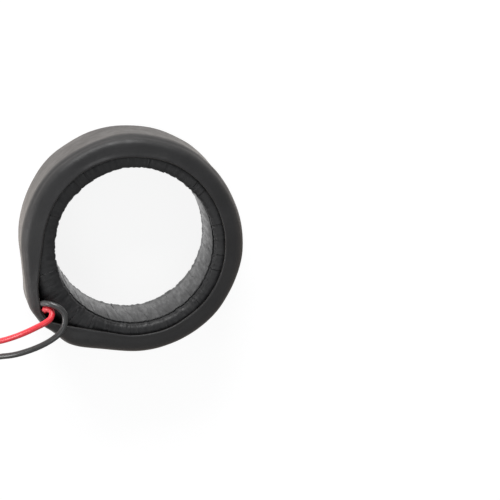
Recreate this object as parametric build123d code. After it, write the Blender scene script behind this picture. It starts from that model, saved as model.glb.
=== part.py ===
"""Window-type current transformer: a wound toroid under tape and a shrink sleeve, with two flying leads.

Millimetres. The ring lies on its face: +Z is the axis of the bore, z = 0 is the face that it lies on,
and the leads come up out of the pocket in the sleeve on the +X side. The red lead is on the +Y side.
"""
from build123d import *
import math
import os

# ---------------------------------------------------------------- driving sizes
bore_radius = 21.5             # clear hole that the primary conductor passes through
core_radial_width = 4.3        # build of the wound steel strip
core_height = 18.8             # width of the strip
core_edge_chamfer = 1.0
core_tape_thickness = 0.3
core_tape_chamfer = 1.15
winding_bore_chamfer = 0.8
winding_rim_chamfer = 1.6
winding_bore_build = 0.8       # the turns crowd together in the bore
winding_rim_build = 0.65       # and fan out towards the rim
winding_face_build = 0.7
tape_thickness = 0.45
tape_bore_round = 1.6          # the tape rolls over into the bore
tape_rim_chamfer = 2.0
tape_turn_count = 24
tape_turn_shift = 0.3          # how far each turn sits askew, so that its edge laps over the next
tape_turn_tilt = 0.35          # degrees
sleeve_wall = 0.9
sleeve_lip_overhang = 5.3      # how far the shrunk edge folds in over each face
layer_gap = 0.03               # clearance between one layer and the next

splice_pad_thickness = 0.12
splice_pad_half_angle = 12.0   # degrees
splice_pad_low = 5.2
splice_pad_height = 12.0
splice_tube_diameter = 2.6
splice_tube_bore = 1.8
splice_tube_low = 5.6
splice_tube_length = 10.0
splice_spacing = 3.2
splice_room = 0.03             # clearance between a splice tube and the sleeve
solder_diameter = 1.7
solder_low = 7.2
solder_length = 3.0
strand_diameter = 0.76         # bared copper of a lead
strand_bared_length = 4.4
tail_diameter = 0.24           # enamelled wire of the winding
tail_height = 4.2              # where the tail comes out through the tape
tail_bend = 0.8
wire_hole_room = 0.03

ridge_round = 4.6              # plan radius of the sleeve where it is drawn over the splices
mouth_round = 0.95             # the mouth of the pocket, held open by the two leads
mouth_spacing = 1.7
mouth_radius = 29.65
lip_edge_ease = 0.2

lead_diameter = 1.6
lead_start = 11.0
coil_radius = 8.0              # middle of the turns
coil_height = 3.2              # two turns
coil_lead_in = 6.0             # the last straight run before a lead starts to turn
coil_run_up = 3.0              # and the run before that
coil_tail_span = 50.0          # degrees of the last turn that lie beside the coil
tinned_tip_diameter = 0.8
tinned_tip_length = 5.0

# ---------------------------------------------------------------- sizes that follow, from the bore outwards
winding_inner_radius = bore_radius + tape_thickness + layer_gap
core_tape_inner_radius = winding_inner_radius + winding_bore_build + layer_gap
core_inner_radius = core_tape_inner_radius + core_tape_thickness + layer_gap
core_outer_radius = core_inner_radius + core_radial_width
core_tape_outer_radius = core_outer_radius + layer_gap + core_tape_thickness
winding_outer_radius = core_tape_outer_radius + layer_gap + winding_rim_build
tape_outer_radius = winding_outer_radius + layer_gap + tape_thickness
tape_turn_angle = 360.0 / tape_turn_count
tape_lap_step = tape_turn_shift * math.sin(math.radians(tape_turn_angle / 2))
tape_face_step = tape_outer_radius * math.tan(math.radians(tape_turn_angle / 2)) * math.tan(
    math.radians(tape_turn_tilt))
sleeve_inner_radius = tape_outer_radius + tape_lap_step + layer_gap
sleeve_outer_radius = sleeve_inner_radius + sleeve_wall
sleeve_lip_radius = sleeve_outer_radius - sleeve_lip_overhang
sleeve_round = tape_rim_chamfer * (1 + math.sqrt(0.5)) + layer_gap + sleeve_wall

# sizes that follow, from the lying face upwards
tape_low = sleeve_wall + layer_gap + tape_face_step
winding_low = tape_low + tape_thickness + layer_gap
core_tape_low = winding_low + winding_face_build + layer_gap
core_low = core_tape_low + core_tape_thickness + layer_gap
middle_height = core_low + core_height / 2
overall_height = 2 * middle_height

splice_pad_radius = tape_outer_radius + tape_lap_step + layer_gap
splice_radius = splice_pad_radius + splice_pad_thickness + layer_gap + splice_tube_diameter / 2
ridge_reach = splice_radius + splice_tube_diameter / 2 + splice_room + sleeve_wall
ridge_centre_radius = ridge_reach - ridge_round
coil_tail_radius = coil_radius + 1.5 * lead_diameter
tail_offset = (strand_diameter + tail_diameter) / 2 + wire_hole_room


# ---------------------------------------------------------------- forms shared by several pieces
def toroid(inner, outer, low, bore_size, rim_size, ease_bore=chamfer):
    """A solid ring, level about the middle height, with the corners of its section chamfered or rounded."""
    high = overall_height - low
    section = Plane.XZ * Pos((inner + outer) / 2, middle_height) * Rectangle(outer - inner, high - low)
    for radius, ease, size in ((inner, ease_bore, bore_size), (outer, chamfer, rim_size)):
        corners = [v for v in section.vertices() if abs(v.X - radius) < size / 10]
        section = ease(corners, size)
    return revolve(section, Axis.Z)


def hull_outline(centre_radius, small_centres, small_radius):
    """An outline drawn tight round one big circle and a pair of small ones."""
    outline = Circle(centre_radius).edges()
    for x, y in small_centres:
        outline += (Pos(x, y) * Circle(small_radius)).edges()
    return make_hull(outline)


def upright(radius, low, length):
    return Pos(0, 0, low) * Cylinder(radius, length, align=(Align.CENTER, Align.CENTER, Align.MIN))


def shell(outside, inside):
    """What is left of one closed form round another."""
    return outside - inside


# ---------------------------------------------------------------- core and winding
def make_core():
    """The ring of steel strip, wound up like a roll of tape and bonded into one piece."""
    return toroid(core_inner_radius, core_outer_radius, core_low, core_edge_chamfer, core_edge_chamfer)


def make_core_tape():
    """Insulation between the core and the winding."""
    outside = toroid(core_tape_inner_radius, core_tape_outer_radius, core_tape_low,
                     core_tape_chamfer, core_tape_chamfer)
    core_room = toroid(core_inner_radius - layer_gap, core_outer_radius + layer_gap, core_low - layer_gap,
                       core_edge_chamfer, core_edge_chamfer)
    return shell(outside, core_room)


def make_winding():
    """The layers of enamelled wire, as the one body that they pack into."""
    outside = toroid(winding_inner_radius, winding_outer_radius, winding_low,
                     winding_bore_chamfer, winding_rim_chamfer)
    core_tape_room = toroid(core_tape_inner_radius - layer_gap, core_tape_outer_radius + layer_gap,
                            core_tape_low - layer_gap, core_tape_chamfer, core_tape_chamfer)
    return shell(outside, core_tape_room)


def make_tape_wrap():
    """The outer tape, wound through the bore, each turn askew so that its edge laps over the next."""
    half = math.radians(tape_turn_angle / 2)
    reach = 2 * tape_outer_radius
    wedge = Polyline((0, 0), (reach, -reach * math.tan(half)), (reach, reach * math.tan(half)), close=True)
    sector = extrude(make_face(wedge), overall_height)
    askew = Pos(0, tape_turn_shift, middle_height) * Rot(tape_turn_tilt, 0, 0) * Pos(0, 0, -middle_height)
    round_turn = toroid(bore_radius, tape_outer_radius, tape_low, tape_bore_round, tape_rim_chamfer, fillet)
    turn = sector & (askew * round_turn)
    turns = [Rot(0, 0, index * tape_turn_angle) * turn for index in range(tape_turn_count)]
    wrap = turns[0].fuse(*turns[1:])
    wrap -= toroid(winding_inner_radius - layer_gap, winding_outer_radius + layer_gap,
                   winding_low - layer_gap, winding_bore_chamfer, winding_rim_chamfer)
    for side in (-1, 1):
        start = Pos(core_outer_radius, side * splice_spacing / 2, tail_height)
        wrap -= start * Rot(0, 90, 0) * upright(tail_diameter / 2 + wire_hole_room, 0, core_outer_radius)
    return wrap


# ---------------------------------------------------------------- sleeve
def sleeve_form(grow, ease, size):
    """The toroid and the ridge over the splices, grown by a wall from the inside of the sleeve."""
    low = sleeve_wall - grow
    side = splice_spacing / 2
    ridges = [(ridge_centre_radius, -side), (ridge_centre_radius, side)]
    outline = hull_outline(sleeve_inner_radius + grow, ridges, ridge_round - sleeve_wall + grow)
    form = extrude(Pos(0, 0, low) * outline, overall_height - 2 * low)
    return ease(form.faces().filter_by(Axis.Z).edges(), size)


def lip_cutter(outline):
    """What opens the upper face of the sleeve: straight through, with the lip's edge eased."""
    through = extrude(Pos(0, 0, middle_height) * outline, overall_height)
    eased = extrude(Pos(0, 0, overall_height - lip_edge_ease) * outline, 2 * lip_edge_ease, taper=-45)
    return through + eased


def make_sleeve():
    """The shrink sleeve: folded in over both faces, and drawn out to a pocket where the leads come up."""
    side = mouth_spacing / 2
    mouth = [(mouth_radius, -side), (mouth_radius, side)]
    upper_lip = lip_cutter(hull_outline(sleeve_lip_radius, mouth, mouth_round))
    lower_lip = Pos(0, 0, overall_height) * Rot(180, 0, 0) * lip_cutter(Sketch() + Circle(sleeve_lip_radius))
    outside = sleeve_form(sleeve_wall, fillet, sleeve_round)
    inside = sleeve_form(0, chamfer, tape_rim_chamfer)
    return shell(outside, inside) - upper_lip - lower_lip


# ---------------------------------------------------------------- splices under the sleeve
def splice_place(side):
    """Where a splice stands against the pad: side -1 is black and 1 is red."""
    return math.sqrt(splice_radius ** 2 - (splice_spacing / 2) ** 2), side * splice_spacing / 2


def make_splice_pad():
    """The slip of insulating paper that the two splices lie on."""
    band = Pos(splice_pad_radius + splice_pad_thickness / 2, splice_pad_low + splice_pad_height / 2)
    section = Plane.XZ * band * Rectangle(splice_pad_thickness, splice_pad_height)
    return Rot(0, 0, -splice_pad_half_angle) * revolve(section, Axis.Z, 2 * splice_pad_half_angle)


def make_splice_tube(side):
    x, y = splice_place(side)
    tube = upright(splice_tube_diameter / 2, splice_tube_low, splice_tube_length)
    tube -= upright(splice_tube_bore / 2, splice_tube_low, splice_tube_length)
    return Pos(x, y) * tube


def make_strand(side):
    """The bared copper at the splice end of a lead."""
    x, y = splice_place(side)
    return Pos(x, y) * upright(strand_diameter / 2, lead_start - strand_bared_length, strand_bared_length)


def make_solder(side):
    """The soldered joint round the copper of the lead and the wire of the winding."""
    x, y = splice_place(side)
    joint = upright(solder_diameter / 2, solder_low, solder_length)
    joint -= upright(strand_diameter / 2, solder_low, solder_length)
    joint -= Pos(-tail_offset) * upright(tail_diameter / 2, solder_low, solder_length)
    return Pos(x, y) * joint


def make_tail(side):
    """One end of the winding, out through the tape and up into the solder."""
    x, y = splice_place(side)
    start = math.sqrt(winding_outer_radius ** 2 - y ** 2) + layer_gap
    corner = (x - tail_offset, y, tail_height)
    top = (x - tail_offset, y, solder_low + solder_length)
    path = FilletPolyline((start, y, tail_height), corner, top, radius=tail_bend)
    return sweep(Plane(path @ 0, z_dir=path % 0) * Circle(tail_diameter / 2), path)


# ---------------------------------------------------------------- leads
red_coil_centre = (75.0, -17.8)
black_coil_centre = (85.4, 5.7)
red_entry_angle = 70.0         # where the red lead runs into its coil, seen from the coil's centre
black_entry_angle = 256.0
red_tail_angle = -100.0        # where the free end of each coil begins to lie outside it
black_tail_angle = 10.0


def coil_entry(centre, angle, turning):
    """The point where a lead runs into its coil, and its direction there: turning 1 is anticlockwise."""
    a = math.radians(angle)
    radius = coil_radius + lead_diameter / 2
    point = Vector(centre[0] + radius * math.cos(a), centre[1] + radius * math.sin(a), lead_diameter / 2)
    return point, Vector(-math.sin(a), math.cos(a), 0) * turning


red_entry, red_heading = coil_entry(red_coil_centre, red_entry_angle, -1)
black_entry, black_heading = coil_entry(black_coil_centre, black_entry_angle, 1)
red_x, red_y = splice_place(1)
black_x, black_y = splice_place(-1)
red_route = [
    (red_x, red_y, lead_start),
    (red_x, red_y, 15.6),
    (30.3, 1.2, 19.2),
    (29.4, 0.4, 22.4),
    (29.4, -0.5, 24.4),
    (27.9, 0.0, 25.9),
    (28.1, 1.3, 27.3),
    (29.8, 2.0, 28.1),
    (34.0, 1.6, 27.4),
    (38.5, 1.4, 25.0),
    (43.4, 1.0, 21.2),
    (48.0, 0.1, 16.8),
    (52.0, -0.9, 12.3),
    (55.9, -2.0, 8.0),
    (59.6, -3.1, 4.6),
    (63.1, -4.2, 2.3),
    (66.5, -5.3, 1.1),
    tuple(red_entry - red_heading * (coil_lead_in + coil_run_up)),
    tuple(red_entry - red_heading * coil_lead_in),
]
black_route = [
    (black_x, black_y, lead_start),
    (black_x, black_y, 15.6),
    (30.3, -1.6, 19.2),
    (29.2, -1.5, 22.4),
    (28.5, -2.2, 25.3),
    (26.8, -1.4, 27.5),
    (25.2, 1.4, 28.4),
    (25.8, 4.0, 28.7),
    (28.5, 6.3, 28.9),
    (33.1, 6.7, 28.3),
    (38.1, 6.3, 26.4),
    (43.4, 5.4, 23.4),
    (47.6, 4.1, 19.5),
    (52.2, 3.5, 15.6),
    (56.6, 2.8, 11.2),
    (60.8, 2.1, 7.3),
    (64.7, 1.1, 4.3),
    (68.3, 0.4, 2.3),
    (71.6, 0.0, 1.2),
    tuple(black_entry - black_heading * (coil_lead_in + coil_run_up)),
    tuple(black_entry - black_heading * coil_lead_in),
]


def corner_radii(route):
    """The largest arc that each corner of a route leaves room for."""
    points = [Vector(*p) for p in route]
    radii = []
    for before, here, after in zip(points, points[1:], points[2:]):
        turn = math.radians((here - before).get_angle(after - here))
        radii.append(0.45 * min((here - before).length, (after - here).length) / math.tan(turn / 2))
    return radii


def make_lead(route):
    """The stretch of a lead from its splice to its coil: straight runs joined by tangent arcs."""
    radii = corner_radii(route)
    path = FilletPolyline(*route, radius=radii)
    lead = sweep(Plane(path @ 0, z_dir=path % 0) * Circle(lead_diameter / 2), path)
    expected = math.pi * (lead_diameter / 2) ** 2 * path.length
    print("lead", "radii", [round(r, 1) for r in radii], "length", round(path.length, 1),
          "volume over section x length", round(lead.volume / expected, 4))
    return lead


def make_coil(centre, entry, heading, tail_angle):
    """The outer shape of the spare length: turns beside and on each other, and its last end lying outside."""
    outside = upright(coil_radius + lead_diameter, 0, coil_height)
    inside = upright(coil_radius - lead_diameter, 0, coil_height)
    coil = Pos(centre[0], centre[1]) * shell(outside, inside)
    line = Line(entry - heading * coil_lead_in, entry)
    coil += sweep(Plane(line @ 0, z_dir=line % 0) * Circle(lead_diameter / 2), line)
    section = Plane.XZ * Pos(coil_tail_radius, lead_diameter / 2) * Rectangle(lead_diameter, lead_diameter)
    tail = revolve(section, Axis.Z, coil_tail_span)
    return coil + Pos(centre[0], centre[1]) * Rot(0, 0, tail_angle) * tail


def make_tinned_tip(centre, tail_angle, turning):
    """The bared and tinned end of a lead, lying on along the end of its coil."""
    angle = tail_angle if turning < 0 else tail_angle + coil_tail_span
    start = Pos(coil_tail_radius, 0, tinned_tip_diameter / 2)
    tip = start * Rot(-90 * turning, 0, 0) * upright(tinned_tip_diameter / 2, 0, tinned_tip_length)
    return Pos(centre[0], centre[1]) * Rot(0, 0, angle) * tip


# ---------------------------------------------------------------- the pieces
pieces = {
    "toroidal_core": make_core(),
    "core_tape": make_core_tape(),
    "secondary_winding": make_winding(),
    "tape_wrap": make_tape_wrap(),
    "shrink_sleeve": make_sleeve(),
    "splice_pad": make_splice_pad(),
    "winding_start_tail": make_tail(1),
    "winding_finish_tail": make_tail(-1),
    "red_lead_strands": make_strand(1),
    "black_lead_strands": make_strand(-1),
    "red_solder_joint": make_solder(1),
    "black_solder_joint": make_solder(-1),
    "red_splice_tube": make_splice_tube(1),
    "black_splice_tube": make_splice_tube(-1),
    "red_lead": make_lead(red_route),
    "black_lead": make_lead(black_route),
    "red_lead_coil": make_coil(red_coil_centre, red_entry, red_heading, red_tail_angle),
    "black_lead_coil": make_coil(black_coil_centre, black_entry, black_heading, black_tail_angle),
    "red_tinned_tip": make_tinned_tip(red_coil_centre, red_tail_angle, -1),
    "black_tinned_tip": make_tinned_tip(black_coil_centre, black_tail_angle, 1),
}

os.makedirs("parts", exist_ok=True)
for name, piece in pieces.items():
    export_step(piece, f"parts/{name}.step")
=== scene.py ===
"""Looks for the window-type current transformer: its shrink sleeve, lapped tape, flying leads and studio.

Metres, in the frame of the model: +Z is the axis of the bore, the ring lies on z = 0, and the leads come
up out of the pocket in the sleeve on the +X side.
"""
import math
import random

import bpy
from mathutils import Matrix, Vector, noise


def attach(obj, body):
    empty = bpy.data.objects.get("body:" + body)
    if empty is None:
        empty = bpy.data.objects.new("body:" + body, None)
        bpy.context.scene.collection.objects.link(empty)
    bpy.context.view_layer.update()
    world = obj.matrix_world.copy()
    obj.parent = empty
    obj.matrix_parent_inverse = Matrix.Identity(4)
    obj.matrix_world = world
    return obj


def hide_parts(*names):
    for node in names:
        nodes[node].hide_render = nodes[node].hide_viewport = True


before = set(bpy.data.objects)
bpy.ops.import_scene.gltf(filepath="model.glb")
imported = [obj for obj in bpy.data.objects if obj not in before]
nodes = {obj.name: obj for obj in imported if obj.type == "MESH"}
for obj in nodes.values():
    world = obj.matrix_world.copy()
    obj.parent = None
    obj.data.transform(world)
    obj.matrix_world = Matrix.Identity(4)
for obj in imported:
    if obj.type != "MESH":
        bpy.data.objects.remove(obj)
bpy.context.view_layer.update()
MM = 0.001


# ---------------------------------------------------------------- working habits
def deselect():
    bpy.ops.object.select_all(action="DESELECT")


def to_metres(points):
    return [Vector(p) * MM for p in points]


def smooth(low, high, value):
    """0 below low, 1 above high, and an easy slope between."""
    t = min(1.0, max(0.0, (value - low) / (high - low)))
    return t * t * (3 - 2 * t)


def bell(offset, width):
    """1 at no offset, and an easy fall to nothing a few widths off."""
    return math.exp(-(offset / width) ** 2)


def towards(side, angle, power=2):
    """1 on that side of the ring, given in degrees, and 0 across from it."""
    return math.cos((angle - math.radians(side)) / 2) ** power


def drift(angle, pace, start):
    """A value that wanders round the ring and closes on itself."""
    return noise.noise(Vector((pace * math.cos(angle), pace * math.sin(angle), start)))


# ---------------------------------------------------------------- materials
def node_wiring(tree):
    """Short ways to add a node to a tree, with values for its sockets, and to join two nodes."""
    def add(kind, **sockets):
        node = tree.nodes.new(kind)
        for socket, value in sockets.items():
            node.inputs[socket.replace("_", " ")].default_value = value
        return node

    def join(source, output, target, socket):
        tree.links.new(source.outputs[output], target.inputs[socket])

    return add, join


def new_material(name, roughness, metallic=0.0):
    """A material with its shader, and the helpers for its nodes."""
    material = bpy.data.materials.new(name)
    material.use_nodes = True
    tree = material.node_tree
    shader = tree.nodes["Principled BSDF"]
    shader.inputs["Roughness"].default_value = roughness
    shader.inputs["Metallic"].default_value = metallic
    return material, shader, *node_wiring(tree)


def speckle(add, join, place, scale, detail=4.0, roughness=0.55):
    """A cloudy pattern of that many features to the unit of its place."""
    pattern = add("ShaderNodeTexNoise", Scale=scale, Detail=detail, Roughness=roughness)
    join(place, 0, pattern, "Vector")
    return pattern


def between(add, join, pattern, output, low, high, low_value, high_value):
    """Turns the part of a pattern from low to high into a range of values."""
    spread = add("ShaderNodeMapRange", From_Min=low, From_Max=high, To_Min=low_value, To_Max=high_value)
    join(pattern, output, spread, "Value")
    return spread


def blended_colour(add, join, pattern, output, stops):
    """Lays colours along the values of a pattern."""
    ramp = add("ShaderNodeValToRGB")
    band = ramp.color_ramp
    while len(band.elements) < len(stops):
        band.elements.new(0.5)
    for element, (position, colour) in zip(band.elements, stops):
        element.position = position
        element.color = (*colour, 1)
    join(pattern, output, ramp, "Fac")
    return ramp


def raised(add, join, shader, layers):
    """Stacks bumps, each a pattern with the height in metres that it stands out by."""
    below = None
    for pattern, output, height in layers:
        bump = add("ShaderNodeBump", Strength=1.0, Distance=height)
        join(pattern, output, bump, "Height")
        if below:
            join(below, "Normal", bump, "Normal")
        below = bump
    join(below, "Normal", shader, "Normal")


def place_on_part(add, join):
    """Where a point lies on the part, for patterns to read."""
    coordinates = add("ShaderNodeTexCoord")
    place = add("ShaderNodeMapping")
    join(coordinates, "Object", place, "Vector")
    return place


CHARCOAL_TONES = [
    (0.30, (0.0141, 0.0142, 0.0154)),
    (0.55, (0.0180, 0.0181, 0.0193)),
    (0.80, (0.0235, 0.0235, 0.0244)),
]
SLEEVE_GLOSS = (0.44, 0.56)
DUSTY_TINT = (1.0, 0.87, 0.77, 1)


def sleeve_rubber():
    """Matt charcoal heat-shrink tube, faintly clouded, with a fine skin."""
    material, shader, add, join = new_material("sleeve_rubber", 0.5)
    place = place_on_part(add, join)
    clouds = speckle(add, join, place, 90.0, 3.0)
    skin = speckle(add, join, place, 2600.0, 2.0)
    swell = speckle(add, join, place, 420.0, 3.0)
    tone = blended_colour(add, join, clouds, "Fac", CHARCOAL_TONES)
    join(tone, "Color", shader, "Base Color")
    gloss = between(add, join, swell, "Fac", 0.3, 0.7, *SLEEVE_GLOSS)
    join(gloss, "Result", shader, "Roughness")
    shader.inputs["Specular IOR Level"].default_value = 0.42
    shader.inputs["Sheen Weight"].default_value = 0.22
    shader.inputs["Sheen Roughness"].default_value = 0.45
    shader.inputs["Sheen Tint"].default_value = DUSTY_TINT
    raised(add, join, shader, [(swell, "Fac", 0.00010), (skin, "Fac", 0.000012)])
    return material


TAPE_TONES = [
    (0.36, (0.0065, 0.0065, 0.0073)),
    (0.50, (0.0110, 0.0110, 0.0120)),
    (0.66, (0.0220, 0.0217, 0.0225)),
]
GLOSS_LOW_IN_BORE = 0.28
GLOSS_HIGH_IN_BORE = 0.52


def wrap_tape():
    """Glossy black vinyl tape, duller towards the top of the bore, with wrinkles across each turn.

    The tape's own map is in millimetres, so its patterns count their features to the millimetre.
    """
    material, shader, add, join = new_material("wrap_tape", 0.3)
    coordinates = add("ShaderNodeTexCoord")
    drawn_out = add("ShaderNodeMapping", Scale=(1.0, 0.16, 1.0))
    slanted = add("ShaderNodeMapping", Scale=(1.0, 0.20, 1.0), Rotation=(0.0, 0.0, 0.12))
    join(coordinates, "UV", drawn_out, "Vector")
    join(coordinates, "UV", slanted, "Vector")
    puckers = speckle(add, join, slanted, 0.8, 2.0, 0.5)
    wrinkles = speckle(add, join, drawn_out, 1.3, 3.0, 0.55)
    fine = speckle(add, join, drawn_out, 6.0, 2.0)
    creases = speckle(add, join, drawn_out, 0.75, 6.0, 0.75)
    tone = blended_colour(add, join, creases, "Fac", TAPE_TONES)
    join(tone, "Color", shader, "Base Color")
    split = add("ShaderNodeSeparateXYZ")
    join(coordinates, "Object", split, "Vector")
    scuffed = between(add, join, split, "Z", 0.005, 0.020, GLOSS_LOW_IN_BORE, GLOSS_HIGH_IN_BORE)
    patchy = between(add, join, creases, "Fac", 0.38, 0.62, -0.09, 0.12)
    gloss = add("ShaderNodeMath")
    join(scuffed, "Result", gloss, 0)
    join(patchy, "Result", gloss, 1)
    join(gloss, "Value", shader, "Roughness")
    layers = [(wrinkles, "Fac", 0.00011), (puckers, "Fac", 0.00013), (fine, "Fac", 0.000010)]
    raised(add, join, shader, layers)
    return material


def lead_pvc(name, colour, deeper, roughness):
    """Extruded insulation: one even colour with a trace of drift, and a smooth skin."""
    material, shader, add, join = new_material(name, roughness)
    place = place_on_part(add, join)
    clouds = speckle(add, join, place, 260.0, 2.0)
    skin = speckle(add, join, place, 3800.0, 2.0)
    tone = blended_colour(add, join, clouds, "Fac", [(0.3, deeper), (0.7, colour)])
    join(tone, "Color", shader, "Base Color")
    gloss = between(add, join, clouds, "Fac", 0.3, 0.7, roughness - 0.05, roughness + 0.05)
    join(gloss, "Result", shader, "Roughness")
    shader.inputs["Specular IOR Level"].default_value = 0.75
    raised(add, join, shader, [(skin, "Fac", 0.0000018)])
    return material


def drawn_metal(name, colour, stain, roughness, scale):
    """Bright or enamelled metal, with a faint stain."""
    material, shader, add, join = new_material(name, roughness, 1.0)
    place = place_on_part(add, join)
    stains = speckle(add, join, place, scale, 3.0)
    tone = blended_colour(add, join, stains, "Fac", [(0.35, stain), (0.65, colour)])
    join(tone, "Color", shader, "Base Color")
    gloss = between(add, join, stains, "Fac", 0.3, 0.7, roughness + 0.1, roughness)
    join(gloss, "Result", shader, "Roughness")
    raised(add, join, shader, [(stains, "Fac", 0.000015)])
    return material


def pressed_sheet(name, colour, deeper, roughness, scale):
    """Paper, cloth tape or a plastic tube: even, with a short grain."""
    material, shader, add, join = new_material(name, roughness)
    place = place_on_part(add, join)
    grain = speckle(add, join, place, scale, 4.0)
    tone = blended_colour(add, join, grain, "Fac", [(0.35, deeper), (0.65, colour)])
    join(tone, "Color", shader, "Base Color")
    raised(add, join, shader, [(grain, "Fac", 0.00002)])
    return material


def dress(piece, material):
    """Gives a piece its one material."""
    piece.data.materials.clear()
    piece.data.materials.append(material)


rubber = sleeve_rubber()
tape_vinyl = wrap_tape()
red_pvc = lead_pvc("red_pvc", (0.86, 0.034, 0.053), (0.78, 0.024, 0.038), 0.36)
black_pvc = lead_pvc("black_pvc", (0.038, 0.038, 0.038), (0.028, 0.028, 0.028), 0.31)
tinned = drawn_metal("tinned_copper", (0.78, 0.76, 0.73), (0.55, 0.50, 0.45), 0.28, 900.0)
solder = drawn_metal("solder", (0.62, 0.62, 0.63), (0.42, 0.42, 0.44), 0.35, 1200.0)
enamelled = drawn_metal("enamelled_wire", (0.62, 0.24, 0.09), (0.42, 0.13, 0.05), 0.25, 700.0)
steel = drawn_metal("core_steel", (0.42, 0.43, 0.45), (0.28, 0.28, 0.30), 0.38, 500.0)
cloth_tape = pressed_sheet("core_tape", (0.62, 0.54, 0.21), (0.50, 0.42, 0.15), 0.45, 1500.0)
pad_paper = pressed_sheet("pad_paper", (0.48, 0.40, 0.27), (0.38, 0.31, 0.20), 0.75, 2200.0)
tie_nylon = pressed_sheet("tie_nylon", (0.020, 0.020, 0.021), (0.012, 0.012, 0.013), 0.42, 1800.0)
tube_plastic = pressed_sheet("splice_tube", (0.020, 0.020, 0.021), (0.013, 0.013, 0.014), 0.4, 900.0)

finishes = {
    "toroidal_core": steel,
    "core_tape": cloth_tape,
    "secondary_winding": enamelled,
    "winding_start_tail": enamelled,
    "winding_finish_tail": enamelled,
    "splice_pad": pad_paper,
    "red_lead_strands": tinned,
    "black_lead_strands": tinned,
    "red_solder_joint": solder,
    "black_solder_joint": solder,
    "red_splice_tube": tube_plastic,
    "black_splice_tube": tube_plastic,
    "red_lead": red_pvc,
    "black_lead": black_pvc,
    "red_lead_coil": red_pvc,
    "black_lead_coil": black_pvc,
    "red_tinned_tip": tinned,
    "black_tinned_tip": tinned,
    "tape_wrap": tape_vinyl,
    "shrink_sleeve": rubber,
}
for name, finish in finishes.items():
    dress(nodes[name], finish)

# ---------------------------------------------------------------- shrink sleeve
# Millimetres and degrees. A run goes along the tube's outside, from where it starts to fold in to its lip.
SLEEVE_RADIUS = 29.9
SLEEVE_ROUND = 4.34
SLEEVE_HEIGHT = 23.787
SLEEVE_WALL = 0.9
MID_HEIGHT = SLEEVE_HEIGHT / 2
SHOULDER = SLEEVE_HEIGHT - SLEEVE_ROUND
FACE_RADIUS = SLEEVE_RADIUS - SLEEVE_ROUND
QUARTER_RUN = SLEEVE_ROUND * math.pi / 2
LIP_RADIUS = 24.6
LIP_RUN = QUARTER_RUN + SLEEVE_RADIUS - SLEEVE_ROUND - LIP_RADIUS

RIDGE_CENTRE = 28.15
RIDGE_HALF_WIDTH = 1.6
RIDGE_RADIUS = 4.6
MOUTH_CENTRE = 29.65
MOUTH_HALF_WIDTH = 1.25
MOUTH_RADIUS = 1.20
POCKET_LEAN = 3.6
LIP_DRAWN_BACK = 0.38

PLAIN_STAND = 0.08
FLANK_ANGLE = 22.5
FLANK_STAND = 1.95
FLANK_FALL_TO_POCKET = 9.0
FLANK_FALL_AWAY = 13.0
BROAD_SWELL_ANGLE = 290
BROAD_SWELL_STAND = 0.30
NARROW_SWELL_ANGLE = 80
NARROW_SWELL_FALL = 18
NARROW_SWELL_STAND = 0.30

MARKED_SIDE = 255
DENT_RUN = 2.25
DENT_WIDTH = 0.55
DENT_DEPTH = 0.15
FOLD_RIDGE_RUN = 3.85
FOLD_RIDGE_WIDTH = 1.05
FOLD_RIDGE_STAND = 0.22
HOLLOW_SIDE = 235
HOLLOW_RUN = 5.9


def hull_reach(angle, big, centre, half_width, small):
    """How far out a line drawn tight round a big circle and two small ones lies, at that angle."""
    side = abs((angle + math.pi) % (2 * math.pi) - math.pi)
    distance = math.hypot(centre, half_width)
    axis = math.atan2(half_width, centre)
    tangent = math.acos((big - small) / distance)
    foot = axis + tangent
    if side >= foot:
        return big
    straight = big / math.cos(side - foot)
    if side > axis + math.asin(small * math.sin(tangent) / (distance + small * math.cos(tangent))):
        return straight
    if side < math.atan2(half_width, centre + small):
        return min(straight, (centre + small) / math.cos(side))
    along = distance * math.cos(side - axis)
    inside = small * small - (distance * math.sin(side - axis)) ** 2
    return min(straight, along + math.sqrt(inside) if inside > 0 else along)


def profile_ring(name, profile, steps):
    """A closed line in the XZ plane, made from a circle of as many points and spun round the bore."""
    deselect()
    bpy.ops.mesh.primitive_circle_add(vertices=len(profile), radius=0.01, fill_type="NOTHING")
    ring = bpy.context.object
    ring.name = name
    for vertex, (radius, height) in zip(ring.data.vertices, profile):
        vertex.co = Vector((radius, 0, height)) * MM
    bpy.ops.object.mode_set(mode="EDIT")
    bpy.ops.mesh.select_all(action="SELECT")
    bpy.ops.mesh.spin(steps=steps, dupli=False, angle=2 * math.pi, center=(0, 0, 0), axis=(0, 0, 1))
    bpy.ops.mesh.select_all(action="SELECT")
    bpy.ops.mesh.remove_doubles(threshold=0.000004)
    bpy.ops.mesh.normals_make_consistent(inside=False)
    bpy.ops.object.mode_set(mode="OBJECT")
    bpy.ops.object.shade_smooth()
    return ring


def wall_spot(run, depth, reach=SLEEVE_RADIUS):
    """Radius and height of a point at that run and that deep in the wall of a tube of that reach."""
    if run <= 0:
        return reach - depth, SHOULDER + run
    face_radius = reach - SLEEVE_ROUND
    if run >= QUARTER_RUN:
        return face_radius - (run - QUARTER_RUN), SLEEVE_HEIGHT - depth
    turn = run / SLEEVE_ROUND
    fold_radius = SLEEVE_ROUND - depth
    return face_radius + fold_radius * math.cos(turn), SHOULDER + fold_radius * math.sin(turn)


def run_and_depth(radius, height):
    """Where a point of the plain folded tube lies on it: its run, and how deep it is in the wall."""
    if height <= SHOULDER:
        return height - SHOULDER, SLEEVE_RADIUS - radius
    if radius <= FACE_RADIUS:
        return QUARTER_RUN + FACE_RADIUS - radius, SLEEVE_HEIGHT - height
    turn = math.atan2(height - SHOULDER, radius - FACE_RADIUS)
    return SLEEVE_ROUND * turn, SLEEVE_ROUND - math.hypot(radius - FACE_RADIUS, height - SHOULDER)


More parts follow.
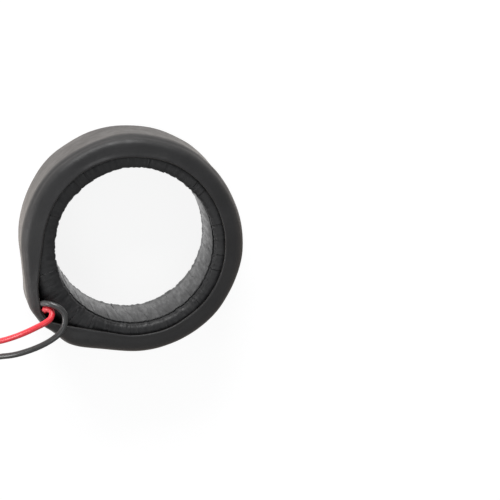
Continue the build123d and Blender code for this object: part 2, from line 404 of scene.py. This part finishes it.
def sleeve_section():
    """The tube's section before it meets the splices: its upper half goes from the inside round the lip to
    the outside, and its lower half mirrors that.
    """
    middle_run = -(SHOULDER - MID_HEIGHT)
    lip = [LIP_RUN - 0.20, LIP_RUN - 0.5, LIP_RUN - 0.8]
    fold = [LIP_RUN - 1.1 - 0.26 * step for step in range(25)]
    side = [-0.75 * step for step in range(11)]
    inside = [-5.8, -4.2, -2.6, -1.2, 0, 0.9, 1.8, 2.7, 3.6, 4.5, 5.4, 6.2, 6.9, LIP_RUN - 0.25]
    nose = [wall_spot(LIP_RUN, 0.66), wall_spot(LIP_RUN + 0.06, 0.42), wall_spot(LIP_RUN, 0.18)]
    upper = [wall_spot(run, SLEEVE_WALL) for run in inside] + nose
    upper += [wall_spot(run, 0) for run in lip + fold + side]
    lower = [(radius, SLEEVE_HEIGHT - height) for radius, height in reversed(upper)]
    return upper + [wall_spot(middle_run, 0)] + lower + [wall_spot(middle_run, SLEEVE_WALL)]


def fold_marks(angle, run):
    """How far the tube stands out along its fold: a dent, then a soft ridge, stronger on one side."""
    wander = 0.35 * drift(angle, 2.2, 5.0)
    strength = 0.25 + 0.75 * towards(MARKED_SIDE, angle) ** 3
    strength *= 0.8 + 0.5 * drift(angle, 3.5, 9.0)
    dent = bell(run - DENT_RUN - wander, DENT_WIDTH)
    ridge = bell(run - FOLD_RIDGE_RUN - wander, FOLD_RIDGE_WIDTH)
    return strength * (FOLD_RIDGE_STAND * ridge - DENT_DEPTH * dent)


def slack(angle, height):
    """How far the tube stands out of a plain ring: a loose flank beside the pocket, a broad swell round
    one side and a narrow one on the other.
    """
    beside = math.degrees(angle) - FLANK_ANGLE
    flank = FLANK_STAND * bell(beside, FLANK_FALL_TO_POCKET if beside < 0 else FLANK_FALL_AWAY)
    flank *= 0.3 + 0.7 * smooth(2, 16, height)
    broad = BROAD_SWELL_STAND * towards(BROAD_SWELL_ANGLE, angle, 6)
    narrow = NARROW_SWELL_STAND * bell(math.degrees(angle) - NARROW_SWELL_ANGLE, NARROW_SWELL_FALL)
    return flank + broad + narrow + PLAIN_STAND


def shrunk_on(angle, run, place):
    """The uneven stand of a tube shrunk by hand: broad swells, marks along its fold, a lip that lifts."""
    broad = noise.noise(place / 12.0 + Vector((3.1, 0.4, 7.7)))
    finer = noise.noise(place / 4.6 + Vector((8.3, 2.9, 1.2)))
    stand = 0.34 * broad + 0.06 * finer + fold_marks(angle, run)
    hollow = (0.07 + 0.10 * towards(HOLLOW_SIDE, angle)) * bell(run - HOLLOW_RUN, 1.0)
    lifted = smooth(LIP_RUN - 1.3, LIP_RUN, run)
    return stand * (1 - 0.6 * lifted) - hollow + lifted * (0.26 + 0.12 * noise.noise(place / 3.2))


def drawn_over_splices(place):
    """Carries a point of the plain folded ring out to the ridge over the splices and the mouth's edge."""
    radius, height = math.hypot(place.x, place.y), place.z
    angle = math.atan2(place.y, place.x)
    degrees = math.degrees(angle)
    upper = height > MID_HEIGHT
    lean = math.radians(POCKET_LEAN) * (height - MID_HEIGHT) / MID_HEIGHT * smooth(-14, 4, degrees)
    reach = hull_reach(angle - lean, SLEEVE_RADIUS, RIDGE_CENTRE, RIDGE_HALF_WIDTH, RIDGE_RADIUS)
    reach += slack(angle, height)
    rise = height if upper else SLEEVE_HEIGHT - height
    run, depth = run_and_depth(radius, rise)
    near_lip = smooth(LIP_RUN - 2.0, LIP_RUN - 0.9, run)
    outside = 1 - smooth(0.2, 0.8, depth)
    stand = shrunk_on(angle, run if upper else run - 0.3, place) * max(outside, near_lip)
    run += near_lip * 0.22 * drift(angle, 3.0, rise / 9)
    if upper and run > 0:
        lip = hull_reach(angle - lean, LIP_RADIUS, MOUTH_CENTRE, MOUTH_HALF_WIDTH, MOUTH_RADIUS)
        lip += LIP_DRAWN_BACK * smooth(-44, -24, degrees) * (1 - smooth(-16, -2, degrees))
        face_radius = reach - SLEEVE_ROUND
        if lip <= face_radius:
            lip_run = QUARTER_RUN + face_radius - lip
        else:
            lip_run = SLEEVE_ROUND * math.acos((lip - face_radius) / SLEEVE_ROUND)
        run *= lip_run / LIP_RUN
        stand *= 1 - 0.6 * smooth(1.5, 5.0, lip - LIP_RADIUS)
    radius, rise = wall_spot(run, depth - stand, reach)
    height = rise if upper else max(SLEEVE_HEIGHT - rise, 0.0)
    return Vector((radius * math.cos(angle), radius * math.sin(angle), height))


def make_sleeve():
    """The shrink sleeve: a folded ring of even wall, drawn out to the pocket at the leads."""
    sleeve = profile_ring("folded_shrink_sleeve", sleeve_section(), 360)
    for vertex in sleeve.data.vertices:
        vertex.co = drawn_over_splices(vertex.co / MM) * MM
    return sleeve


sleeve = make_sleeve()
dress(sleeve, rubber)
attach(sleeve, "root")
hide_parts("shrink_sleeve")

# ---------------------------------------------------------------- tape
# Millimetres: radius and height of the tape's section, up the bore's wall, over the top and back under.
# A turn's columns take LAP_PART of its width, and the step up to the next turn's edge takes the rest.
TAPE_TURNS = 32
STEPS_A_TURN = 20
TAPE_COLUMNS = TAPE_TURNS * STEPS_A_TURN
TAPE_THICKNESS = 0.10
TAPE_MIDDLE = (25.2, 11.9)
TAPE_LOWEST = 0.02
TAPE_HIGHEST = 23.2
TAPE_OUTERMOST = 28.92
MAP_RADIUS = 22.5
LAP_PART = 0.985
LAP_LEAN = 0.034
LAP_FRILL = 0.014
BORE_WALL_FROM = 5.35
BORE_WALL_STEP = 0.95
BORE_EDGE_RADIUS = 21.8
BORE_EDGE_HEIGHTS = (21.5, 2.2)
ROLLED_SIDE = 80
CLOSEST_SIDE = 272

upper_edge = [
    (21.50, 18.60), (21.50, 19.40), (21.50, 20.00), (21.48, 20.40), (21.48, 20.70), (21.52, 20.90),
    (21.59, 20.96), (21.66, 20.88), (21.70, 20.70), (21.75, 20.56), (21.80, 20.72), (21.84, 21.05),
    (21.89, 21.42), (21.97, 21.78), (22.12, 22.08), (22.34, 22.34), (22.62, 22.54), (22.95, 22.68),
    (23.35, 22.77), (23.75, 22.82), (24.20, 22.84), (24.60, 22.84), (25.00, 22.83), (25.40, 22.80),
    (25.90, 22.73), (26.40, 22.61), (26.90, 22.41), (27.40, 22.12), (27.90, 21.70), (28.40, 21.02),
    (28.75, 20.20), (28.90, 19.20), (28.90, 17.00), (28.90, 14.40),
]
lower_edge = [
    (28.90, 9.40), (28.90, 6.00), (28.90, 4.60), (28.75, 3.60), (28.40, 2.77), (27.90, 2.08),
    (27.40, 1.67), (26.70, 1.30), (26.00, 1.08), (25.20, 0.98), (24.40, 0.95), (23.60, 0.95),
    (23.10, 0.98), (22.70, 1.07), (22.35, 1.24), (22.05, 1.48), (21.81, 1.80), (21.64, 2.18),
    (21.54, 2.60), (21.50, 3.10), (21.50, 3.70), (21.50, 4.40),
]
bore_wall = [(21.50, BORE_WALL_FROM + BORE_WALL_STEP * step) for step in range(14)]
tape_profile = bore_wall + upper_edge + lower_edge

# The points from the top of the wall to the face once more, as they lie where the tape has rolled in.
rolled_in = [
    (21.50, 20.00), (21.50, 20.25), (21.51, 20.42), (21.53, 20.55), (21.55, 20.64), (21.57, 20.70),
    (21.55, 20.76), (21.48, 20.80), (21.38, 20.86), (21.30, 21.00), (21.26, 21.25), (21.30, 21.60),
    (21.50, 21.98), (21.85, 22.32), (22.35, 22.55),
]
ROLL_START = len(bore_wall) + 2


def tape_edges():
    """Where the showing edges of the turns cross the bore, a little uneven, as wound by hand."""
    random.seed(12)
    widths = [random.uniform(0.72, 1.32) for _ in range(TAPE_TURNS)]
    whole = sum(widths)
    return [2 * math.pi * sum(widths[:turn]) / whole for turn in range(TAPE_TURNS + 1)]


def section_measures():
    """How far along the section each of its points lies, and which way it faces."""
    lengths, facing = [0.0], []
    for index, spot in enumerate(tape_profile):
        before, after = tape_profile[index - 1], tape_profile[(index + 1) % len(tape_profile)]
        along = Vector((after[0] - before[0], after[1] - before[1])).normalized()
        facing.append((-along.y, along.x))
        lengths.append(lengths[-1] + math.dist(spot, after))
    return lengths, facing


def settled(index, r, z, angle):
    """A point of the section where the tape settles: rolled in at the bore's upper edge on one side, drawn
    tight at its lower edge, and tucked under the lips of the sleeve.
    """
    if ROLL_START <= index < ROLL_START + len(rolled_in):
        rolled = smooth(0.30, 0.75, 0.5 - 0.5 * math.cos(angle - math.radians(ROLLED_SIDE)))
        r2, z2 = rolled_in[index - ROLL_START]
        closest = smooth(0.85, 1.0, math.cos(angle - math.radians(CLOSEST_SIDE)))
        r2 -= 0.22 * closest * smooth(20.6, 21.0, z2)
        r, z = r + rolled * (r2 - r), z + rolled * (z2 - z)
    if z < MID_HEIGHT and r < 22.4:
        r -= 0.17 * (1 - smooth(2.2, 4.4, z))
    past_mouth = (26, 40) if z > MID_HEIGHT and angle < 0 else (24, 26)
    under_lip = smooth(24.2, 24.8, r) * (1 - smooth(26.0, 26.8, r))
    under_lip *= smooth(*past_mouth, abs(math.degrees(angle)))
    return r, z + math.copysign(0.22 * under_lip, MID_HEIGHT - z)


def lapped(turn, part, u, s, bore, hidden, edge):
    """How far a turn stands out of the winding: it laps the last one, puckers, crimps and swells."""
    face = (1 - bore) * (1 - hidden)
    pucker = 0.7 - 2.2 * abs(noise.noise(Vector((u / 1.3, s / 5.5, turn * 7.3))))
    crimp = noise.noise(Vector((u / 0.8, s / 3.4, turn * 4.7)))
    lumps = noise.noise(Vector((u / 1.6, s / 2.7, turn * 2.1 + 20)))
    soft = noise.noise(Vector((u / 3.4, s / 7.0, turn * 2.9 + 50)))
    stand = TAPE_THICKNESS * (1 - part) * (1 - 0.5 * bore) * (1 - 0.5 * hidden)
    stand += (0.030 * bore + 0.055 * face + 0.04 * edge) * pucker
    stand += (0.028 * bore + 0.035 * face + 0.05 * edge) * crimp + 0.06 * soft + 0.055 * bore * lumps
    return stand


def mouth_creases(r, angle):
    """The dent and the crease that the tape's end makes where the leads come through."""
    y = r * angle
    dent = -0.16 * bell(y + 1.0 - 0.07 * (r - 25), 0.22)
    dent *= smooth(23.2, 24.2, r)
    dent *= 1 - smooth(25.8, 26.5, r)
    crease = 0.14 * bell(y + 1.7 - 0.1 * (r - 26.5), 0.25) * smooth(25.0, 26.0, r)
    return dent + crease


def lap_by_the_mouth(r, angle, part):
    """How much higher the turns' edges stand in the mouth, where the sleeve doesn't press them down."""
    if angle >= 0.2:
        return 0.0
    return 0.10 * (1 - part) ** 2 * smooth(25.0, 25.9, r) * smooth(-0.52, -0.40, angle)


def clear_of_winding(r, z):
    """Keeps the tape outside the winding that it covers, on the bore side."""
    if r > 25.5:
        return r, z
    rise = z if z > MID_HEIGHT else SLEEVE_HEIGHT - z
    if rise < 21.45:
        r = min(r, 21.88)
    rise = max(rise, min(r - 0.28, 22.50)) if r > 21.88 else rise
    return r, rise if z > MID_HEIGHT else SLEEVE_HEIGHT - rise


def make_tape():
    """Vinyl tape wound round the ring: each turn laps the last, leans along the bore and puckers at its
    edges. u and s are millimetres round the ring and along the section.
    """
    tape = profile_ring("lapped_tape", tape_profile, TAPE_COLUMNS)
    edges = tape_edges()
    lengths, facing = section_measures()
    places = {(round(r * 100), round(z * 100)): index for index, (r, z) in enumerate(tape_profile)}
    across = []
    for vertex in tape.data.vertices:
        r, z = math.hypot(vertex.co.x, vertex.co.y) / MM, vertex.co.z / MM
        index = places[(round(r * 100), round(z * 100))]
        spun = math.atan2(vertex.co.y, vertex.co.x)
        r, z = settled(index, r, z, spun)

        column = round(spun / (2 * math.pi) * TAPE_TURNS * STEPS_A_TURN)
        turn, step = divmod(column % TAPE_COLUMNS, STEPS_A_TURN)
        part = step / (STEPS_A_TURN - 1) * LAP_PART
        round_section = math.atan2(z - TAPE_MIDDLE[1], TAPE_MIDDLE[0] - r)
        hidden = smooth(1.9, 2.9, abs(round_section))
        s = lengths[index]
        uneven = 0.8 + 0.8 * noise.noise(Vector((turn * 3.7, 1.5, 0)))
        lean = LAP_LEAN * round_section * (1 - hidden) * uneven
        frill = noise.noise(Vector((s / 2.0, turn * 5.1, 3.3))) * LAP_FRILL * (1 - hidden)
        angle = edges[turn] + (edges[turn + 1] - edges[turn]) * part
        angle += lean + frill * (1 - part)
        u = angle * MAP_RADIUS

        bore = 1 - smooth(21.9, 22.6, r)
        off_edge = math.hypot(r - BORE_EDGE_RADIUS, min(abs(z - height) for height in BORE_EDGE_HEIGHTS))
        edge = bell(off_edge, 1.0)
        stand = lapped(turn, part, u, s, bore, hidden, edge)
        if z > 20:
            turned = (angle + math.pi) % (2 * math.pi) - math.pi
            stand += mouth_creases(r, turned)
            stand += lap_by_the_mouth(r, turned, part)
        ragged = 0.30 * noise.noise(Vector((u / 1.0, turn * 3.1, 7.0)))
        ragged += 0.20 * noise.noise(Vector((u / 2.4, 2.0, 4.0)))
        r += facing[index][0] * stand + ragged * edge
        z += facing[index][1] * stand
        r, z = clear_of_winding(min(r, TAPE_OUTERMOST), z)
        z = min(max(z, TAPE_LOWEST), TAPE_HIGHEST)
        vertex.co = Vector((r * math.cos(angle), r * math.sin(angle), z)) * MM
        across.append((u, s))
    lay_tape_map(tape, across, 2 * math.pi * MAP_RADIUS, lengths[-1])
    return tape


def lay_tape_map(tape, across, whole_u, whole_v):
    """Gives the tape a map in millimetres: round the ring, and along the section."""
    layer = tape.data.uv_layers.active
    layer.name = "along_the_tape"
    for face in tape.data.polygons:
        first = across[face.vertices[0]]
        for corner, vertex in zip(face.loop_indices, face.vertices):
            u, v = across[vertex]
            u += whole_u * round((first[0] - u) / whole_u)
            v += whole_v * round((first[1] - v) / whole_v)
            layer.data[corner].uv = (u, v)


tape = make_tape()
dress(tape, tape_vinyl)
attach(tape, "root")
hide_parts("tape_wrap")

# ---------------------------------------------------------------- leads
# The routes are in metres, the coils and ties in millimetres and in degrees that the coil has turned.
LEAD_DIAMETER = 0.0016
COIL_STEP = 22.5
OUTER_TURN = 8.8
INNER_TURN = 7.2
UPPER_TURN = 8.0
TAIL_TURN = 10.4
FLOOR_LINE = 0.8
UPPER_LINE = 2.25
CLIMB_HUMP = 0.2
RUN_IN = (9.0, 6.0, 3.0)
ON_THE_FLOOR_TO = 590
ON_TOP_TO = 795
MOVES_IN = (270, 345)
CLIMBS = (585, 640)
SPREADS = (615, 660)
HUMP_RISES = (615, 640)
HUMP_FALLS = (700, 730)
COMES_DOWN = (795, 860)
TAIL_OVER = 120
TIE_TURNED = 60.0
TIE_WIDTH = 1.8
TIE_THICKNESS = 0.35
TIE_LIFT = 0.45
LIFT_FADES = (15, 50)
TIE_SLACK = 0.07
TIE_HEAD_SIZE = (1.1, 2.6, 1.7)
TIE_STUB_LENGTH = 1.2
UP = Vector((0, 0, 1))

red_route = [
    (0.03048, 0.0016, 0.0110), (0.03048, 0.0016, 0.0156), (0.0303, 0.0012, 0.0192),
    (0.0294, 0.0004, 0.0224), (0.0294, -0.0005, 0.0244), (0.0279, 0.0000, 0.0259),
    (0.0281, 0.0013, 0.0273), (0.0298, 0.0020, 0.0281), (0.0340, 0.0016, 0.0274),
    (0.0385, 0.0014, 0.0250), (0.0434, 0.0010, 0.0212), (0.0480, 0.0001, 0.0168),
    (0.0520, -0.0009, 0.0123), (0.0559, -0.0020, 0.0080), (0.0596, -0.0031, 0.0046),
    (0.0631, -0.0042, 0.0023), (0.0665, -0.0053, 0.0011),
]
black_route = [
    (0.03048, -0.0016, 0.0110), (0.03048, -0.0016, 0.0156), (0.0303, -0.0016, 0.0192),
    (0.0292, -0.0015, 0.0224), (0.0285, -0.0022, 0.0253), (0.0268, -0.0014, 0.0275),
    (0.0252, 0.0014, 0.0284), (0.0258, 0.0040, 0.0287), (0.0285, 0.0063, 0.0289),
    (0.0331, 0.0067, 0.0283), (0.0381, 0.0063, 0.0264), (0.0434, 0.0054, 0.0234),
    (0.0476, 0.0041, 0.0195), (0.0522, 0.0035, 0.0156), (0.0566, 0.0028, 0.0112),
    (0.0608, 0.0021, 0.0073), (0.0647, 0.0011, 0.0043), (0.0683, 0.0004, 0.0023),
    (0.0716, 0.0000, 0.0012),
]


def coil_place(turned):
    """Radius and height of the lead once it has turned that many degrees in its coil.

    It goes from the outer turn to the inner one on the floor, climbs to a third turn on top of both, and
    comes down over the outside.
    """
    if turned < ON_THE_FLOOR_TO:
        return OUTER_TURN + (INNER_TURN - OUTER_TURN) * smooth(*MOVES_IN, turned), FLOOR_LINE
    if turned < ON_TOP_TO:
        radius = INNER_TURN + (UPPER_TURN - INNER_TURN) * smooth(*SPREADS, turned)
        hump = CLIMB_HUMP * smooth(*HUMP_RISES, turned) * (1 - smooth(*HUMP_FALLS, turned))
        return radius, FLOOR_LINE + (UPPER_LINE - FLOOR_LINE) * smooth(*CLIMBS, turned) + hump
    over = math.radians(TAIL_OVER * (1 - smooth(*COMES_DOWN, turned)))
    reach = TAIL_TURN - OUTER_TURN
    return OUTER_TURN + reach * math.cos(over), FLOOR_LINE + reach * math.sin(over)


def coil_points(centre, entry_angle, turning, total):
    """The spare length of a lead: two turns on the floor, the rest of a third on them, and the loose end.

    The line cuts the corners between its points, so they stand a little outside the turns.
    """
    def on_coil(radius, angle, height):
        return Vector((centre[0] + radius * math.cos(angle), centre[1] + radius * math.sin(angle), height))

    outside = 1 / math.cos(math.radians(COIL_STEP / 2))
    start = math.radians(entry_angle)
    entry = on_coil(OUTER_TURN, start, FLOOR_LINE)
    heading = Vector((-math.sin(start), math.cos(start), 0)) * turning
    points = [entry - heading * before for before in RUN_IN]
    for index in range(int(total / COIL_STEP) + 1):
        turned = (index + 0.5) * COIL_STEP
        radius, height = coil_place(turned)
        from_tie = abs((turned - TIE_TURNED + 180) % 360 - 180)
        lift = TIE_LIFT * (1 - smooth(*LIFT_FADES, from_tie))
        points.append(on_coil(radius * outside, start + turning * math.radians(turned), height + lift))
    return to_metres(points)


def lead_curve(name, points, material):
    """A lead as a smooth round line through its route."""
    curve = bpy.data.curves.new(name, "CURVE")
    curve.dimensions = "3D"
    curve.bevel_depth = LEAD_DIAMETER / 2
    curve.bevel_resolution = 6
    curve.resolution_u = 8
    curve.use_fill_caps = True
    line = curve.splines.new("NURBS")
    line.points.add(len(points) - 1)
    for slot, place in zip(line.points, points):
        slot.co = (*place, 1)
    line.order_u = 3
    line.use_endpoint_u = True
    lead = bpy.data.objects.new(name, curve)
    bpy.context.collection.objects.link(lead)
    dress(lead, material)
    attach(lead, "root")
    return lead


def set_down(piece, origin, right, along):
    """Turns a piece made at the origin, its X to the right and its Z along, and fixes it in its place."""
    across = along.cross(right)
    turned = Matrix((right, across, along)).transposed().to_4x4()
    turned.translation = origin
    piece.matrix_world = turned
    bpy.ops.object.transform_apply(location=True, rotation=True, scale=True)


def bared_tip(name, points, node):
    """The tinned end of a lead: fine strands twisted together, along the lead's last heading."""
    strands, rings, step, twist, end_size = 7, 15, 0.00035, 0.19, 0.75
    between_strands, strand_stand, in_the_lead = 0.00027, 0.00013, 0.0003
    corners = 6 * strands
    deselect()
    bpy.ops.mesh.primitive_circle_add(vertices=corners, radius=0.001, fill_type="NGON")
    tip = bpy.context.object
    tip.name = name
    for index, vertex in enumerate(tip.data.vertices):
        a = 2 * math.pi * index / corners
        reach = between_strands + strand_stand * abs(math.cos(strands * a / 2)) ** 0.7
        vertex.co = (reach * math.cos(a), reach * math.sin(a), 0)
    bpy.ops.object.mode_set(mode="EDIT")
    bpy.ops.mesh.select_all(action="SELECT")
    for _ in range(rings):
        bpy.ops.mesh.extrude_region_move(TRANSFORM_OT_translate={"value": (0, 0, step)})
        bpy.ops.transform.rotate(value=twist, orient_axis="Z", center_override=(0, 0, 0))
    bpy.ops.transform.resize(value=(end_size, end_size, 1), center_override=(0, 0, 0))
    bpy.ops.mesh.select_all(action="SELECT")
    bpy.ops.mesh.normals_make_consistent(inside=False)
    bpy.ops.object.mode_set(mode="OBJECT")
    bpy.ops.object.shade_smooth_by_angle(angle=math.radians(50))
    heading = points[-1] - points[-2]
    heading.z = 0
    heading.normalize()
    set_down(tip, points[-1] - heading * in_the_lead, UP, heading)
    dress(tip, tinned)
    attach(tip, "root")
    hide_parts(node)
    return tip


def cable_tie(name, centre, entry_angle, turning):
    """A narrow nylon tie drawn round the three turns of a coil, its head on the outside."""
    corners = 48
    head_out, head_up, head_edge = 0.45, 0.25, 0.00018
    stub_out, stub_up, stub_edge = 0.1, 1.3, 0.00006
    middle = (OUTER_TURN + INNER_TURN) / 2
    low, high = FLOOR_LINE + TIE_LIFT, UPPER_LINE + TIE_LIFT
    turns = [Vector((OUTER_TURN - middle, low)), Vector((INNER_TURN - middle, low)), Vector((0.0, high))]
    inside = LEAD_DIAMETER / MM / 2 + TIE_SLACK
    deselect()
    bpy.ops.mesh.primitive_circle_add(vertices=corners, radius=0.001, fill_type="NOTHING")
    tie = bpy.context.object
    tie.name = name
    for index, vertex in enumerate(tie.data.vertices):
        round_tie = 2 * math.pi * index / corners
        facing = Vector((math.cos(round_tie), math.sin(round_tie)))
        furthest = max(turns, key=lambda turn: turn.dot(facing))
        x, z = furthest + facing * inside
        vertex.co = Vector((x, -TIE_WIDTH / 2, z)) * MM
    bpy.ops.object.mode_set(mode="EDIT")
    bpy.ops.mesh.select_all(action="SELECT")
    bpy.ops.mesh.remove_doubles(threshold=0.000001)
    bpy.ops.mesh.extrude_region_move(TRANSFORM_OT_translate={"value": (0, TIE_WIDTH * MM, 0)})
    bpy.ops.mesh.select_all(action="SELECT")
    bpy.ops.mesh.normals_make_consistent(inside=False)
    bpy.ops.object.mode_set(mode="OBJECT")
    band = tie.modifiers.new("thickness", "SOLIDIFY")
    band.thickness = TIE_THICKNESS * MM
    band.offset = 1.0
    bpy.ops.object.modifier_apply(modifier="thickness")
    bpy.ops.object.mode_set(mode="EDIT")
    bpy.ops.mesh.select_all(action="DESELECT")
    head = Vector((OUTER_TURN - middle + inside + TIE_THICKNESS + head_out, 0, low + head_up)) * MM
    bpy.ops.mesh.primitive_cube_add(size=MM, location=head, scale=TIE_HEAD_SIZE)
    bpy.ops.mesh.select_mode(type="FACE")
    bpy.ops.mesh.bevel(offset=head_edge, segments=2, affect="EDGES")
    bpy.ops.mesh.select_all(action="DESELECT")
    stub = head + Vector((stub_out, 0, stub_up)) * MM
    stub_size = (TIE_THICKNESS, TIE_WIDTH, TIE_STUB_LENGTH)
    bpy.ops.mesh.primitive_cube_add(size=MM, location=stub, scale=stub_size)
    bpy.ops.mesh.bevel(offset=stub_edge, segments=1, affect="EDGES")
    bpy.ops.object.mode_set(mode="OBJECT")
    bpy.ops.object.shade_smooth_by_angle(angle=math.radians(35))
    a = math.radians(entry_angle) + turning * math.radians(TIE_TURNED)
    outward = Vector((math.cos(a), math.sin(a), 0))
    set_down(tie, to_metres([(*centre, 0)])[0] + outward * middle * MM, outward, UP)
    dress(tie, tie_nylon)
    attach(tie, "root")
    return tie


RED_COIL = (75.0, -17.8)
RED_ENTRY = 70.0
BLACK_COIL = (85.4, 5.7)
BLACK_ENTRY = 256.0
COILED = 885
red_points = [Vector(p) for p in red_route] + coil_points(RED_COIL, RED_ENTRY, -1, COILED)
black_points = [Vector(p) for p in black_route] + coil_points(BLACK_COIL, BLACK_ENTRY, 1, COILED)
red_lead = lead_curve("red_lead_wire", red_points, red_pvc)
black_lead = lead_curve("black_lead_wire", black_points, black_pvc)
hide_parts("red_lead", "red_lead_coil")
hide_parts("black_lead", "black_lead_coil")
red_tip = bared_tip("red_twisted_tip", red_points, "red_tinned_tip")
black_tip = bared_tip("black_twisted_tip", black_points, "black_tinned_tip")
red_tie = cable_tie("red_coil_tie", RED_COIL, RED_ENTRY, -1)
black_tie = cable_tie("black_coil_tie", BLACK_COIL, BLACK_ENTRY, 1)

# ---------------------------------------------------------------- studio
TABLE_PAINT = (0.9, 0.9, 0.9, 1)
TABLE_GLOW = 1.15
TABLE_SHARE_SEEN = 0.75
# Painted reflection: the table's glow seen in gloss is full on the key lamp's side and fades to painted
# shade between these two places in Y.
PAINTED_GLOW_FADE_EDGES = (0.0205, 0.0300)
PAINTED_REFLECTION_LIT_SIDE = 1.0
PAINTED_SHADE_FAR_SIDE = 0.10


def larger_of(add, join, first, first_output, second, second_output):
    """The larger of two values."""
    larger = add("ShaderNodeMath")
    larger.operation = "MAXIMUM"
    join(first, first_output, larger, 0)
    join(second, second_output, larger, 1)
    return larger


def studio_white():
    """A table top that stays white to the camera and takes a pale shadow. In gloss it glows as a painted
    reflection of a lit room, full on the key lamp's side and fading to painted shade past an edge on the
    far side.
    """
    material = bpy.data.materials.new("studio_white")
    material.use_nodes = True
    tree = material.node_tree
    tree.nodes.clear()
    add, join = node_wiring(tree)
    end = add("ShaderNodeOutputMaterial")
    paint = add("ShaderNodeBsdfDiffuse", Color=TABLE_PAINT)
    glow = add("ShaderNodeEmission", Color=(1.0, 1.0, 1.0, 1))
    coordinates = add("ShaderNodeTexCoord")
    split = add("ShaderNodeSeparateXYZ")
    join(coordinates, "Object", split, 0)
    # Painted reflection and painted shade: the glow that gloss sees, set by where the point lies across
    # the table.
    window = between(add, join, split, "Y", *PAINTED_GLOW_FADE_EDGES, PAINTED_REFLECTION_LIT_SIDE, PAINTED_SHADE_FAR_SIDE)
    path = add("ShaderNodeLightPath")
    level = add("ShaderNodeMapRange", To_Max=TABLE_GLOW)
    join(path, "Is Camera Ray", level, "Value")
    join(window, "Result", level, "To Min")
    join(level, "Result", glow, "Strength")
    seen = add("ShaderNodeMath")
    seen.operation = "MULTIPLY"
    seen.inputs[1].default_value = TABLE_SHARE_SEEN
    join(path, "Is Camera Ray", seen, 0)
    shiny = larger_of(add, join, path, "Is Glossy Ray", path, "Is Transmission Ray")
    either = larger_of(add, join, seen, 0, shiny, 0)
    mix = add("ShaderNodeMixShader")
    join(either, 0, mix, "Fac")
    join(paint, 0, mix, 1)
    join(glow, 0, mix, 2)
    join(mix, 0, end, "Surface")
    return material


deselect()
bpy.ops.mesh.primitive_plane_add(size=6.0, location=(0, 0, -0.00002))
floor = bpy.context.object
floor.name = "studio_floor"
dress(floor, studio_white())


ROOM_LEVEL_LOW = 0.62
ROOM_LEVEL_OVERHEAD = 0.32
ROOM_TINT_LOW = (1.0, 0.965, 0.93, 1)
ROOM_TINT_OVERHEAD = (0.93, 0.97, 1.0, 1)


def studio_world():
    """White to the camera; for light, warm and paler low down, cool and dimmer overhead."""
    world = bpy.data.worlds.new("studio")
    bpy.context.scene.world = world
    world.use_nodes = True
    tree = world.node_tree
    tree.nodes.clear()
    add, join = node_wiring(tree)
    end = add("ShaderNodeOutputWorld")
    plain = add("ShaderNodeBackground", Color=(1, 1, 1, 1), Strength=1.0)
    room = add("ShaderNodeBackground")
    coordinates = add("ShaderNodeTexCoord")
    split = add("ShaderNodeSeparateXYZ")
    join(coordinates, "Generated", split, 0)
    level = between(add, join, split, "Z", 0.0, 0.9, ROOM_LEVEL_LOW, ROOM_LEVEL_OVERHEAD)
    join(level, "Result", room, "Strength")
    tint = add("ShaderNodeValToRGB")
    tint.color_ramp.elements[0].color = ROOM_TINT_LOW
    tint.color_ramp.elements[1].color = ROOM_TINT_OVERHEAD
    join(split, "Z", tint, "Fac")
    join(tint, "Color", room, "Color")
    path = add("ShaderNodeLightPath")
    mix = add("ShaderNodeMixShader")
    join(path, "Is Camera Ray", mix, "Fac")
    join(room, 0, mix, 1)
    join(plain, 0, mix, 2)
    join(mix, 0, end, "Surface")


studio_world()


def softbox(name, place, aim, size, power):
    """A square lamp at a place, turned to what it lights."""
    light = bpy.data.lights.new(name, "AREA")
    light.size = size
    light.energy = power
    lamp = bpy.data.objects.new(name, light)
    bpy.context.collection.objects.link(lamp)
    lamp.location = place
    lamp.rotation_euler = (Vector(aim) - Vector(place)).to_track_quat("-Z", "Y").to_euler()


softbox("window_side", (-0.24, -0.58, 0.26), (0, 0, 0.01), 0.45, 4.6)
softbox("low_side", (0.62, -0.30, 0.10), (0.04, 0, 0.01), 0.28, 1.7)
softbox("overhead", (0.30, 0.10, 0.75), (0, 0, 0.01), 0.4, 0.8)

camera_data = bpy.data.cameras.new("camera")
camera_data.sensor_width = 36.0
camera_data.lens = 122.4
camera_data.clip_start = 0.01
camera = bpy.data.objects.new("camera", camera_data)
bpy.context.collection.objects.link(camera)
camera.location = (-0.013923, -0.109007, 0.467602)
camera.rotation_euler = (math.radians(-12.5541), math.radians(-10.2481), math.radians(146.2774))
bpy.context.scene.camera = camera
bpy.context.scene.view_settings.view_transform = "Standard"
